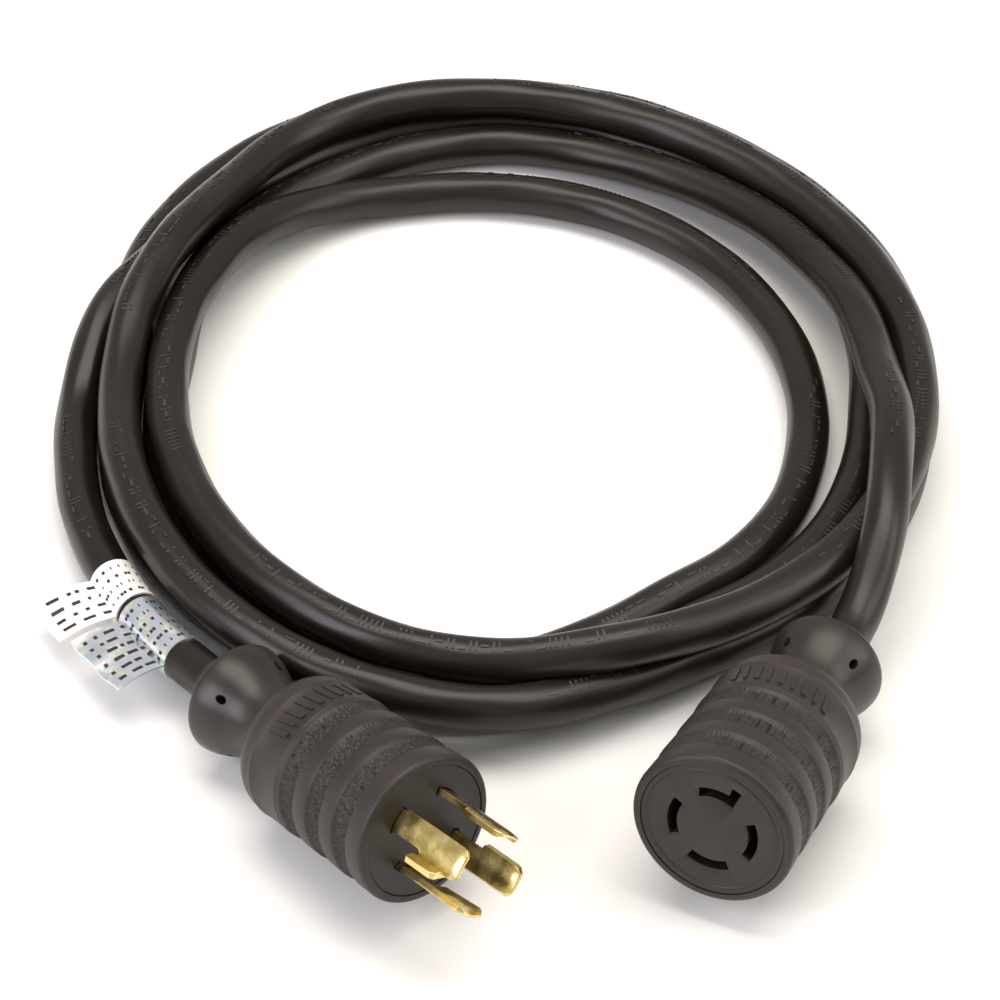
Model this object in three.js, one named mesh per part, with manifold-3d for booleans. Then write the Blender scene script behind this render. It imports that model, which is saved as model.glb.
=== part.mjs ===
// Shore power cord: a locking four-blade plug and a four-slot connector on one round jacketed cord,
// which lies in a loose coil. Millimetres, +Z up, the lowest point on Z = 0, the origin at the bottom centre.
import * as THREE from 'three';
import { mergeVertices } from 'three/addons/utils/BufferGeometryUtils.js';
import Module from 'manifold-3d';

const wasm = await Module();
wasm.setup();

// ---- driving dimensions ----
const GAP = 0.3; // clearance between touching pieces
const FACETS = 40; // sides of the moulded bodies
const CORD_DIAMETER = 10.6;
const CORD_RADIUS = CORD_DIAMETER / 2;
const JACKET_WALL = 1;
const WIRE_RADIUS = 1.6; // insulated 12-gauge conductor, slightly compressed
const WIRE_CIRCLE = 2.6; // radius of the circle the four conductors lie on inside the jacket

// each end: radius at the front and behind, length, and where it lies
const PLUG = {
  radius: 17.7, rearRadius: 16.9, length: 47.5, face: [-15.9, -132.8, 24.3], azimuth: 41, tilt: 9,
};
const CONNECTOR = {
  radius: 18.7, rearRadius: 17.8, length: 48, face: [45.2, -133.2, 25], azimuth: -26, tilt: 9,
};

// features shared by both moulded ends, measured back from the front face
const FRONT_ROUND = 1.2;
const REAR_ROUND = 6;
const GROOVE_CENTRES = [8.2, 17.6, 27];
const GROOVE_WIDTH = 4.6;
const GROOVE_DEPTH = 0.9;
const SHELL_WALL = 3.2;
const INSERT_DEPTH = 6; // thickness of the insert that closes the front
const REAR_WALL = 4;
const NECK_RADIUS = 9;
const FLANGE_RADIUS = 13.4;
const FLANGE_BEHIND_BODY = 20; // widest point of the flange behind the body
const FLANGE_BACK = 1.8; // from the widest point of the flange to its back
const COLLAR_RADIUS = 7.2;
const COLLAR_LENGTH = 6;
const CORE_PIN_RADIUS = 0.9;
const CORE_PIN_BEHIND_FRONT = 13;

// contacts
const BLADE_CIRCLE = 9.4;
const BLADE_WIDTH = 7.2;
const BLADE_THICKNESS = 1.5;
const BLADE_OUT = 21.5; // length in front of the face
const BLADE_NECK = 5.6; // width of the narrow part next to the face
const BLADE_NECK_LENGTH = 8;
const BLADE_TAIL = 12; // length behind the face
const GROUND_LEG = 3.4; // radial leg of the grounding blade
const CRIMP_RADIUS = 2.5;
const CRIMP_LENGTH = 6;
const SLOT_WIDTH = 2.6;
const SLOT_LENGTH = 10.6;
const SLOT_NOTCH = 2.2; // reach of the ground slot's notch past the slot's outer side
const HOUSING_LENGTH = 24;
const CONTACT_LENGTH = 16;
const CONTACT_RECESS = 1; // from the contact housing's front to the contacts
const CONTACT_CRIMP_OVERLAP = 0.6;
const LEAF_THICKNESS = 0.7;

// the coil: outline of the whole bundle, every 30 degrees counter-clockwise from +X about its centre
const COIL_CENTRE = [0, 28];
const COIL_OUTER = [109.5, 119.5, 131, 139.5, 133, 115.5, 102, 104, 111, 118, 108, 108];
const COIL_INNER = [72, 73.5, 79, 84.5, 87, 81, 77, 79.5, 85, 86, 74.5, 73.5];
const COIL_HEIGHT = 32;
const COIL_EDGE = 9; // rounding of the bundle's section
const COIL_STEPS = 60;

// the middle of the floor rectangle that the whole set covers, which becomes the origin
const BASE_CENTRE = [-0.541, 6.039];

// the two leads, from each collar to the coil
const PLUG_LEAD = [
  [-73, -66.5, 10.6], [-80.3, -56.3, 8.8], [-87.5, -44.6, 7.6], [-94.5, -31, 7], [-99, -19.5, 6.4],
  [-102.2, -9, 6], [-105.2, 9.4, 6], [-106.2, 28, 6], [-100.5, 54.9, 14.5], [-87.9, 78.8, 14],
];
const CONNECTOR_LEAD = [
  [84.5, -53, 14.6], [88, -43.5, 19.6], [90.3, -36, 23.4], [92.3, -28, 26.2], [93.4, -18, 27],
  [95, 2.5, 25.8], [93.4, 28, 20.5],
];

// labels wrapped round the plug lead: distance from the collar, length, tab length, turn of the tab
const LEAD_STEP = 1.3 * CORD_DIAMETER; // length of one straight step of a lead
const LABEL_THICKNESS = 0.4;
const LABEL_SLACK = 0.75; // room for the bend of the cord inside a straight sleeve
const LABELS = {
  certification_label: { start: 14, length: 21, tab: 12, turn: 12 },
  rating_label: { start: 36.5, length: 14, tab: 14, turn: 12 },
};

// ---- helpers ----
function solid(geometry) {
  const plain = geometry.index ? geometry.toNonIndexed() : geometry.clone();
  plain.deleteAttribute('normal');
  plain.deleteAttribute('uv');
  const merged = mergeVertices(plain, 1e-4);
  const mesh = new wasm.Mesh({
    numProp: 3,
    vertProperties: new Float32Array(merged.attributes.position.array),
    triVerts: new Uint32Array(merged.index.array),
  });
  return new wasm.Manifold(mesh);
}

function geometryOf(manifold) {
  const mesh = manifold.getMesh();
  const geometry = new THREE.BufferGeometry();
  geometry.setAttribute('position', new THREE.BufferAttribute(new Float32Array(mesh.vertProperties), 3));
  geometry.setIndex(new THREE.BufferAttribute(new Uint32Array(mesh.triVerts), 1));
  geometry.computeVertexNormals();
  return geometry;
}

// profile points are [radius, z], closed on itself or both ends on the axis, turned about the Z axis
function turned(profile, facets = FACETS) {
  const points = profile.map(([radius, z]) => new THREE.Vector2(radius, z));
  if (THREE.ShapeUtils.isClockWise(points)) points.reverse();
  if (points[0].x !== 0 || points.at(-1).x !== 0) points.push(points[0].clone());
  return new THREE.LatheGeometry(points, facets).rotateX(Math.PI / 2);
}

function named(name, geometry, material) {
  const mesh = new THREE.Mesh(geometry, material.clone());
  mesh.name = name;
  return mesh;
}

// an arc as profile points: centre, radius, first and last angle in degrees
function arc(centre, radius, from, to, steps) {
  const points = [];
  for (let i = 0; i <= steps; i += 1) {
    const angle = THREE.MathUtils.degToRad(from + ((to - from) * i) / steps);
    points.push([centre[0] + radius * Math.cos(angle), centre[1] + radius * Math.sin(angle)]);
  }
  return points;
}

function polar(radius, degrees) {
  const angle = THREE.MathUtils.degToRad(degrees);
  return [radius * Math.cos(angle), radius * Math.sin(angle)];
}

// a flat shape bent along an arc round the axis: inner and outer radius, centre angle, length
function arcShape(inner, outer, middle, length, steps = 6) {
  const half = THREE.MathUtils.radToDeg(length / (inner + outer));
  const shape = new THREE.Shape();
  for (let i = 0; i <= steps; i += 1) {
    const [x, y] = polar(outer, middle - half + (2 * half * i) / steps);
    if (i === 0) shape.moveTo(x, y);
    else shape.lineTo(x, y);
  }
  for (let i = steps; i >= 0; i -= 1) {
    const [x, y] = polar(inner, middle - half + (2 * half * i) / steps);
    shape.lineTo(x, y);
  }
  shape.closePath();
  return shape;
}

// a prism of a shape between two heights
function prism(shape, low, high) {
  const depth = high - low;
  const geometry = new THREE.ExtrudeGeometry(shape, { depth, bevelEnabled: false, curveSegments: 16 });
  return geometry.translate(0, 0, low);
}

function rod(radius, low, high, x, y, sides = 16) {
  const geometry = new THREE.CylinderGeometry(radius, radius, high - low, sides);
  return geometry.rotateX(Math.PI / 2).translate(x, y, (low + high) / 2);
}

function smooth(points) {
  return new THREE.CatmullRomCurve3(points, false, 'centripetal');
}

// a round tube along a curve, with a step of about the given length
function tube(curve, radius, step, sides) {
  const section = new THREE.Shape();
  for (let i = 0; i < sides; i += 1) {
    const [x, y] = polar(radius, ((i + 0.5) * 360) / sides);
    if (i === 0) section.moveTo(x, y);
    else section.lineTo(x, y);
  }
  section.closePath();
  const steps = Math.max(2, Math.round(curve.getLength() / step));
  return new THREE.ExtrudeGeometry(section, { steps, extrudePath: curve, bevelEnabled: false });
}

// value at an angle from a list that repeats round the circle, smoothly joined
function around(values, degrees) {
  const n = values.length;
  const place = ((((degrees % 360) + 360) % 360) / 360) * n;
  const i = Math.floor(place);
  const t = place - i;
  const [a, b, c, d] = [-1, 0, 1, 2].map((k) => values[(i + k + n) % n]);
  return b + 0.5 * t * (c - a + t * (2 * a - 5 * b + 4 * c - d + t * (3 * (b - c) + d - a)));
}

// ---- materials ----
const body = new THREE.MeshStandardMaterial({ color: 0x39332f, roughness: 0.62, metalness: 0 });
const grip = new THREE.MeshStandardMaterial({ color: 0x2b2724, roughness: 0.38, metalness: 0 });
const jacket = new THREE.MeshStandardMaterial({ color: 0x26221f, roughness: 0.42, metalness: 0 });
const brass = new THREE.MeshStandardMaterial({ color: 0xb89a4a, roughness: 0.32, metalness: 1 });
const insert = new THREE.MeshStandardMaterial({ color: 0x221f1e, roughness: 0.55, metalness: 0 });
const paper = new THREE.MeshStandardMaterial({ color: 0xf2f0ea, roughness: 0.5, metalness: 0 });
const foil = new THREE.MeshStandardMaterial({ color: 0xc9cbd0, roughness: 0.25, metalness: 0.8 });
const insulation = {
  hot_x: new THREE.MeshStandardMaterial({ color: 0x1c1c1c, roughness: 0.5, metalness: 0 }),
  hot_y: new THREE.MeshStandardMaterial({ color: 0xa8201c, roughness: 0.5, metalness: 0 }),
  neutral: new THREE.MeshStandardMaterial({ color: 0xe6e4de, roughness: 0.5, metalness: 0 }),
  ground: new THREE.MeshStandardMaterial({ color: 0x1f7a3a, roughness: 0.5, metalness: 0 }),
};

// ---- the moulded ends, each with its front face on Z = 0 and the cord leaving towards -Z ----
// outside of the gripping body from the front edge to the rear hole, as [radius, z]
function bodyOutline(end) {
  const { radius, rearRadius, length } = end;
  const points = [...arc([radius - FRONT_ROUND, -FRONT_ROUND], FRONT_ROUND, 90, 0, 3)];
  const half = GROOVE_WIDTH / 2;
  const taper = (radius - rearRadius) / length;
  for (const centre of GROOVE_CENTRES) {
    const here = radius - taper * centre;
    points.push([here, -(centre - half)]);
    points.push([here - GROOVE_DEPTH, -(centre - half + GROOVE_DEPTH)]);
    points.push([here - GROOVE_DEPTH, -(centre + half - GROOVE_DEPTH)]);
    points.push([here, -(centre + half)]);
  }
  points.push(...arc([rearRadius - REAR_ROUND, -(length - REAR_ROUND)], REAR_ROUND, 0, -90, 4));
  return points;
}

function gripBody(end) {
  const inside = end.radius - SHELL_WALL;
  const bore = CORD_RADIUS + GAP;
  const rear = -(end.length - REAR_WALL);
  const outline = bodyOutline(end);
  return turned([
    ...outline,
    [bore, -end.length],
    [bore, rear],
    [inside - 4, rear],
    [inside, rear + 4],
    [inside, 0],
  ]);
}

function cordGrip(end) {
  const front = -(end.length + GAP);
  const widest = -(end.length + FLANGE_BEHIND_BODY);
  const back = widest - FLANGE_BACK;
  const bore = CORD_RADIUS + GAP;
  const shell = turned([
    [NECK_RADIUS, front],
    [NECK_RADIUS + 0.2, front - 4],
    [NECK_RADIUS + 0.9, front - 7],
    [FLANGE_RADIUS - 2.6, front - 11],
    [FLANGE_RADIUS - 0.9, front - 15],
    [FLANGE_RADIUS, widest + 0.9],
    [FLANGE_RADIUS - 0.5, widest - 0.9],
    [FLANGE_RADIUS - 2, back],
    [COLLAR_RADIUS, back - 0.6],
    [COLLAR_RADIUS, back - COLLAR_LENGTH],
    [bore, back - COLLAR_LENGTH],
    [bore, front],
  ], 36);
  let piece = solid(shell);
  for (let i = 0; i < 4; i += 1) {
    const [x, y] = polar(1, 45 + 90 * i);
    const pin = new THREE.CylinderGeometry(CORE_PIN_RADIUS, CORE_PIN_RADIUS, 8, 10);
    pin.rotateZ(-Math.PI / 2).translate(11.5, 0, front - CORE_PIN_BEHIND_FRONT).rotateZ(Math.atan2(y, x));
    piece = piece.subtract(solid(pin));
  }
  return geometryOf(piece);
}

function collarEnd(end) {
  return -(end.length + FLANGE_BEHIND_BODY + FLANGE_BACK + COLLAR_LENGTH);
}

// the last stretch of the jacket, held inside the grip
function jacketEnd(end) {
  const inner = CORD_RADIUS - JACKET_WALL;
  const low = collarEnd(end);
  const high = -(end.length - REAR_WALL);
  return turned([[CORD_RADIUS, low], [CORD_RADIUS, high], [inner, high], [inner, low]], 24);
}

// one insulated conductor from inside the jacket to its crimp
function conductor(end, degrees, crimpEnd) {
  const low = collarEnd(end) + 1;
  const jacketHigh = -(end.length - REAR_WALL);
  const [nearX, nearY] = polar(WIRE_CIRCLE, degrees);
  const [farX, farY] = polar(BLADE_CIRCLE, degrees);
  const high = crimpEnd - GAP;
  const route = [
    [nearX, nearY, low],
    [nearX, nearY, (low + jacketHigh) / 2],
    [nearX, nearY, jacketHigh],
    [nearX + (farX - nearX) * 0.2, nearY + (farY - nearY) * 0.2, jacketHigh + 4],
    [farX, farY, high - 4],
    [farX, farY, high],
  ];
  return tube(smooth(route.map((p) => new THREE.Vector3(...p))), WIRE_RADIUS, 4, 8);
}

// a crimp barrel behind a contact
function crimp(degrees, high) {
  const [x, y] = polar(BLADE_CIRCLE, degrees);
  return solid(rod(CRIMP_RADIUS, high - CRIMP_LENGTH, high, x, y, 12));
}

// one locking blade: narrow neck, hooked head, tail and crimp; the grounding blade has a radial leg
function blade(degrees, hook, leg) {
  const inner = BLADE_CIRCLE - BLADE_THICKNESS / 2;
  const outer = BLADE_CIRCLE + BLADE_THICKNESS / 2;
  const shift = THREE.MathUtils.radToDeg((BLADE_WIDTH - BLADE_NECK) / 2 / BLADE_CIRCLE);
  const head = arcShape(inner, outer, degrees, BLADE_WIDTH);
  const neck = arcShape(inner, outer, degrees - hook * shift, BLADE_NECK);
  let piece = solid(prism(neck, -BLADE_TAIL, BLADE_NECK_LENGTH));
  piece = piece.add(solid(prism(head, BLADE_NECK_LENGTH - 0.5, BLADE_OUT)));
  if (leg) {
    const side = degrees + hook * THREE.MathUtils.radToDeg(BLADE_WIDTH / 2 / BLADE_CIRCLE);
    const bar = new THREE.BoxGeometry(GROUND_LEG, BLADE_THICKNESS, BLADE_OUT * 0.6 - BLADE_NECK_LENGTH);
    const middle = (BLADE_OUT * 0.6 + BLADE_NECK_LENGTH) / 2;
    bar.translate(outer + GROUND_LEG / 2 - 0.6, -hook * BLADE_THICKNESS / 2, middle);
    bar.rotateZ(THREE.MathUtils.degToRad(side));
    piece = piece.add(solid(bar));
  }
  piece = piece.add(crimp(degrees, -BLADE_TAIL + 1));
  return geometryOf(piece);
}

// ---- the plug ----
const CONDUCTORS = { hot_y: 45, ground: 135, neutral: 225, hot_x: 315 };

function bladeCarrier() {
  const radius = PLUG.radius - SHELL_WALL - GAP;
  const disc = turned([[0, 0], [radius, 0], [radius, -INSERT_DEPTH], [0, -INSERT_DEPTH]]);
  let piece = solid(disc);
  const inner = BLADE_CIRCLE - BLADE_THICKNESS / 2 - GAP;
  const outer = BLADE_CIRCLE + BLADE_THICKNESS / 2 + GAP;
  for (const degrees of Object.values(CONDUCTORS)) {
    const slot = arcShape(inner, outer, degrees, BLADE_WIDTH + 2 * GAP);
    piece = piece.subtract(solid(prism(slot, -INSERT_DEPTH - 1, 1)));
  }
  return geometryOf(piece);
}

function plugAssembly() {
  const group = new THREE.Group();
  group.add(named('plug_body', gripBody(PLUG), body));
  group.add(named('plug_cord_grip', cordGrip(PLUG), grip));
  group.add(named('plug_blade_carrier', bladeCarrier(), insert));
  group.add(named('plug_jacket_end', jacketEnd(PLUG), jacket));
  for (const [name, degrees] of Object.entries(CONDUCTORS)) {
    group.add(named(`plug_blade_${name}`, blade(degrees, 1, name === 'ground'), brass));
    const crimpEnd = -BLADE_TAIL + 1 - CRIMP_LENGTH;
    group.add(named(`plug_wire_${name}`, conductor(PLUG, degrees, crimpEnd), insulation[name]));
  }
  return group;
}

// ---- the connector ----
const SLOTS = { neutral: 0, ground: 90, hot_x: 180, hot_y: 270 };

function slotCutter(degrees, notch, low, high) {
  const inner = BLADE_CIRCLE - SLOT_WIDTH / 2;
  const outer = BLADE_CIRCLE + SLOT_WIDTH / 2;
  let cutter = solid(prism(arcShape(inner, outer, degrees, SLOT_LENGTH), low, high));
  if (notch) {
    const half = THREE.MathUtils.radToDeg(SLOT_LENGTH / 2 / BLADE_CIRCLE);
    const shape = arcShape(inner, outer + SLOT_NOTCH, degrees - half * 0.72, SLOT_WIDTH, 3);
    cutter = cutter.add(solid(prism(shape, low, high)));
  }
  return cutter;
}

function connectorFace() {
  const radius = CONNECTOR.radius - SHELL_WALL - GAP;
  const disc = turned([[0, 0], [radius, 0], [radius, -INSERT_DEPTH], [0, -INSERT_DEPTH]]);
  let piece = solid(disc);
  for (const [name, degrees] of Object.entries(SLOTS)) {
    piece = piece.subtract(slotCutter(degrees, name === 'ground', -INSERT_DEPTH - 1, 1));
  }
  return geometryOf(piece);
}

function contactHousing() {
  const radius = CONNECTOR.radius - SHELL_WALL - GAP;
  const high = -INSERT_DEPTH - GAP;
  const low = high - HOUSING_LENGTH;
  let piece = solid(turned([[0, high], [radius, high], [radius, low], [0, low]]));
  const inner = BLADE_CIRCLE - 2.6;
  const outer = BLADE_CIRCLE + 2.9;
  for (const degrees of Object.values(SLOTS)) {
    piece = piece.subtract(solid(prism(arcShape(inner, outer, degrees, 11.4), low - 1, high + 1)));
  }
  return geometryOf(piece);
}

// two spring leaves joined by a web, with a crimp behind
function springContact(degrees) {
  const high = -INSERT_DEPTH - GAP - CONTACT_RECESS;
  const low = high - CONTACT_LENGTH;
  const leaf = LEAF_THICKNESS;
  const gap = BLADE_THICKNESS / 2 + 0.05;
  const outerLeaf = arcShape(BLADE_CIRCLE + gap, BLADE_CIRCLE + gap + leaf, degrees, 8.4);
  const innerLeaf = arcShape(BLADE_CIRCLE - gap - leaf, BLADE_CIRCLE - gap, degrees, 7.4);
  const web = arcShape(BLADE_CIRCLE - gap - leaf, BLADE_CIRCLE + gap + leaf, degrees, 7.4);
  let piece = solid(prism(outerLeaf, low, high));
  piece = piece.add(solid(prism(innerLeaf, low, high)));
  piece = piece.add(solid(prism(web, low - 1, low + 0.5)));
  return geometryOf(piece.add(crimp(degrees, low - CONTACT_CRIMP_OVERLAP)));
}

function connectorAssembly() {
  const group = new THREE.Group();
  group.add(named('connector_body', gripBody(CONNECTOR), body));
  group.add(named('connector_cord_grip', cordGrip(CONNECTOR), grip));
  group.add(named('connector_face', connectorFace(), insert));
  group.add(named('connector_contact_housing', contactHousing(), insert));
  group.add(named('connector_jacket_end', jacketEnd(CONNECTOR), jacket));
  for (const [name, degrees] of Object.entries(SLOTS)) {
    group.add(named(`connector_contact_${name}`, springContact(degrees), brass));
    const contactEnd = -INSERT_DEPTH - GAP - CONTACT_RECESS - CONTACT_LENGTH;
    const crimpEnd = contactEnd - CONTACT_CRIMP_OVERLAP - CRIMP_LENGTH;
    group.add(named(`connector_wire_${name}`, conductor(CONNECTOR, degrees, crimpEnd), insulation[name]));
  }
  return group;
}

// ---- placing the ends ----
const Z = new THREE.Vector3(0, 0, 1);
const X = new THREE.Vector3(1, 0, 0);

function placed(group, end) {
  const turn = new THREE.Quaternion().setFromAxisAngle(Z, THREE.MathUtils.degToRad(end.azimuth));
  const lean = new THREE.Quaternion().setFromAxisAngle(X, THREE.MathUtils.degToRad(90 - end.tilt));
  group.quaternion.copy(turn).multiply(lean);
  group.position.set(...end.face);
  return group;
}

// a point on an end's axis, given its local height
function onAxis(end, height) {
  const group = placed(new THREE.Group(), end);
  return new THREE.Vector3(0, 0, height).applyQuaternion(group.quaternion).add(group.position);
}

// ---- the cord ----
function coil(grow = 0) {
  const low = -grow;
  const high = COIL_HEIGHT + grow;
  const e = COIL_EDGE;
  // section across the bundle: u runs from 0 on the inner outline to 1 on the outer one
  const section = [
    [0, low + e * 0.5], [0.12, low], [0.88, low], [1, low + e * 0.5], [1, high - 1.4 * e],
    [0.88, high - 0.3 * e], [0.6, high], [0.4, high], [0.12, high - 0.3 * e], [0, high - 1.4 * e],
  ];
  const geometry = turned(section.map(([u, z]) => [1 + u, z]), COIL_STEPS);
  const place = geometry.attributes.position;
  for (let i = 0; i < place.count; i += 1) {
    const x = place.getX(i);
    const y = place.getY(i);
    const u = Math.hypot(x, y) - 1;
    const degrees = THREE.MathUtils.radToDeg(Math.atan2(y, x));
    const inner = around(COIL_INNER, degrees) - grow;
    const reach = inner + u * (around(COIL_OUTER, degrees) + grow - inner);
    const [px, py] = polar(reach, degrees);
    place.setXY(i, COIL_CENTRE[0] + px, COIL_CENTRE[1] + py);
  }
  return geometry;
}

function leadCurve(end, points) {
  const start = onAxis(end, collarEnd(end) - GAP);
  const next = onAxis(end, collarEnd(end) - 6);
  return smooth([start, next, ...points.map((p) => new THREE.Vector3(...p))]);
}

function lead(end, points) {
  return tube(leadCurve(end, points), CORD_RADIUS, LEAD_STEP, 12);
}

// the lead stops where it runs into the coil
function leadUpToCoil(end, points) {
  const parts = solid(lead(end, points)).subtract(solid(coil(GAP))).decompose();
  parts.sort((one, other) => other.volume() - one.volume());
  return geometryOf(parts[0]);
}

// ---- the labels: sleeves round the plug lead, each with a flat tab where its ends meet ----
function label({ length, tab }) {
  const inner = CORD_RADIUS + LABEL_SLACK;
  const outer = inner + LABEL_THICKNESS;
  const shape = new THREE.Shape();
  const half = THREE.MathUtils.radToDeg(LABEL_THICKNESS / outer);
  const sides = 24;
  for (let i = 0; i <= sides; i += 1) {
    const [x, y] = polar(outer, half + ((360 - 2 * half) * i) / sides);
    if (i === 0) shape.moveTo(x, y);
    else shape.lineTo(x, y);
  }
  shape.lineTo(outer + tab, -LABEL_THICKNESS);
  shape.lineTo(outer + tab, LABEL_THICKNESS);
  shape.closePath();
  const hole = new THREE.Path();
  for (let i = 0; i < sides; i += 1) {
    const [x, y] = polar(inner, (-360 * i) / sides);
    if (i === 0) hole.moveTo(x, y);
    else hole.lineTo(x, y);
  }
  hole.closePath();
  shape.holes.push(hole);
  return prism(shape, -length / 2, length / 2);
}

// a label's group has its Z along the cord at the label's middle, and its tab turned to the given side
function labelOnLead(name, material) {
  const { start, length, turn } = LABELS[name];
  const curve = leadCurve(PLUG, PLUG_LEAD);
  const share = (start + length / 2) / curve.getLength();
  const group = new THREE.Group();
  group.position.copy(curve.getPointAt(share));
  const along = curve.getTangentAt(share);
  const across = new THREE.Vector3().crossVectors(Z, along).normalize();
  const above = new THREE.Vector3().crossVectors(along, across);
  group.quaternion.setFromRotationMatrix(new THREE.Matrix4().makeBasis(across, above, along));
  const mesh = named(name, label(LABELS[name]), material);
  mesh.rotation.z = THREE.MathUtils.degToRad(turn);
  group.add(mesh);
  return group;
}

const cordSet = new THREE.Group();
cordSet.add(placed(plugAssembly(), PLUG));
cordSet.add(placed(connectorAssembly(), CONNECTOR));
cordSet.add(labelOnLead('certification_label', foil));
cordSet.add(labelOnLead('rating_label', paper));
cordSet.add(named('cord_coil', coil(), jacket));
cordSet.add(named('cord_plug_lead', leadUpToCoil(PLUG, PLUG_LEAD), jacket));
cordSet.add(named('cord_connector_lead', leadUpToCoil(CONNECTOR, CONNECTOR_LEAD), jacket));

cordSet.position.set(-BASE_CENTRE[0], -BASE_CENTRE[1], 0);

export default cordSet;
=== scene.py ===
"""A locking four-blade power cord, coiled on a pale floor.

Lengths in this script are millimetres unless a name says otherwise; MM turns them into metres.
The two moulded ends, the cord and the labels are built over the CAD frame.
The inner parts are the frame's own nodes.
"""
import math

import bpy
import numpy as np
from mathutils import Matrix, Vector


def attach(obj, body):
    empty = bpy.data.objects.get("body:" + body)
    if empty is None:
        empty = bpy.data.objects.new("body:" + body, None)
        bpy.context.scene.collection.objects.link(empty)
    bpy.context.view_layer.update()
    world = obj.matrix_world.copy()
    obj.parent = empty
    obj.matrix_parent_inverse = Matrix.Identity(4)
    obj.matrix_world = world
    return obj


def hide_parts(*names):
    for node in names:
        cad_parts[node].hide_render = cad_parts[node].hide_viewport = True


MM = 0.001
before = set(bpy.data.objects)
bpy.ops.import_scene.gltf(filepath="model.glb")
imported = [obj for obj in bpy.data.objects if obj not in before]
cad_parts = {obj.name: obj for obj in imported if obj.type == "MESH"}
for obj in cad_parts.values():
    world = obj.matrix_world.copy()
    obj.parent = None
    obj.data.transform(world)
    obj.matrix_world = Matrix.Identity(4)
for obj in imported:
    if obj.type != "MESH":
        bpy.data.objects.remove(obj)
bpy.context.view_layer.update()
rng = np.random.default_rng(7)

# ---- driving dimensions ----
SHIFT = np.array([0.541, -6.039, 0.0])  # moves the layout so that the origin is at the bottom centre
COIL_CENTRE = np.array([0.0, 28.0])

CORD_DIAMETER = 10.6
CORD_RADIUS = CORD_DIAMETER / 2
CORD_STEP = 1.6  # between the rings of the cord
CORD_SIDES = 32
LAY_LENGTH = 110  # of cord for one turn of the conductors inside it
LAY_LOBES = 0.07  # how far the four conductors push the jacket out
JACKET_RIPPLE = 0.03
COLLAR_RUN = 6  # straight cord behind each collar
BORE_RADIUS = CORD_RADIUS + 0.3  # the cord's passage through the bodies and the grips

# small raised marks along the cord, in runs with plain cord between them
LEGEND_TURN = 105  # degrees round the cord at which they lie
LEGEND_MARGIN = 60.0  # plain cord at both ends
LEGEND_PERIOD = 150
LEGEND_RUN = 110  # marked part of a period
LEGEND_SKIP = 4
LEGEND_HEIGHT = 0.17
UPRIGHT_WIDTH = 0.45
UPRIGHT_SPAN = (-14, 14)  # degrees round the cord
FLAT_SPANS = [(-14, -9), (-3, 3), (9, 14)]

PLUG = dict(radius=17.7, rear=16.9, length=47.5, face=(-15.9, -132.8, 24.3), azimuth=41, tilt=9)
CONNECTOR = dict(radius=18.7, rear=17.8, length=48.0, face=(45.2, -133.2, 25.0), azimuth=-26, tilt=9)

FRONT_ROUND = 1.3
REAR_ROUND = 6.0
GROOVES = (8.2, 17.6, 27.0)  # middles of the grip bands behind the face
GROOVE_HALF = 2.5
GROOVE_DEPTH = 1.15
BAND_RISE = 0.35  # a band is shallower by this at its rear edge
BAND_STEPS = 10
PEBBLE_HEIGHT = 0.42
RIB_HEIGHT = 0.26
RIB_GRAIN = 0.2
BODY_FACETS = 560
RING_LINES = (31.0, 40.0)  # thin raised lines round the body, behind the face
RING_LINE_HEIGHT = 0.16
RING_LINE_TOP, RING_LINE_FOOT = 0.2, 0.55  # half widths
BAR_COUNT = 9  # slanted bars between the ring lines
BAR_START, BAR_END = RING_LINES[0] + 1.8, RING_LINES[1] - 2.0
BAR_SPACING = 9.0  # degrees
BAR_WIDTHS = (4.2, 2.4)  # degrees, in turn
BAR_SLANT = 3  # degrees from one end of a bar to the other
BAR_HEIGHT = 0.28
SUNK = 0.3  # how deep raised marks and bars start under the surface
SHELL_WALL = 3.2
REAR_WALL = 4.0
FACE_RECESS = 0.2
FACE_EDGE = 2.0  # width of the rim round the face
INSERT_DEPTH = 6.0
AXIS_GAP = 0.0005  # a turned solid stops this short of its axis

NECK_RADIUS = 9.0
NECK_FLARE = [  # what is added to the neck's radius, distance behind the body
    (0, 0), (0, 3), (0.1, 5), (0.35, 7), (0.85, 9), (1.6, 11), (2.5, 13), (3.3, 15), (3.95, 17),
]
FLANGE_RADIUS = 13.4
FLANGE_BEHIND = 20.0  # widest point of the flange, behind the body
FLANGE_BACK = 1.8
COLLAR_RADIUS = 7.2
COLLAR_LENGTH = 6.0
PIN_HOLE_RADIUS = 1.0
PIN_HOLE_BEHIND = 13.0
PIN_HOLE_REACH = (8.0, 16.0)  # from the axis, inner end and outer end
PIN_HOLE_STRETCH = 1.25  # along the axis

BLADE_CIRCLE = 9.4
BLADE_THICKNESS = 1.5
BLADE_OUT = 21.5
BLADE_NECK_LENGTH = 9.0
BLADE_WIDER = 1.1  # extra width of the neutral blade's head
BLADE_EDGE = 0.12  # bevel
LEG_HEIGHT_SHARE = 0.78  # the ground blade's outward leg, as a share of its length
LEG_PLACE = 3.4  # along the blade circle from the blade's middle
LEG_REACH = 3.4
LEG_EDGE = 0.15
SLOT_WIDTH = 2.2
SLOT_LENGTH = 9.2
SLOT_BEVEL = 0.55
SLOT_BEVEL_DEPTH = 0.25
SLOT_NOTCH = 2.2

BLADES = dict(hot_y=45, ground=135, neutral=225, hot_x=315)
SLOTS = dict(neutral=0, ground=90, hot_x=180, hot_y=270)

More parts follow.
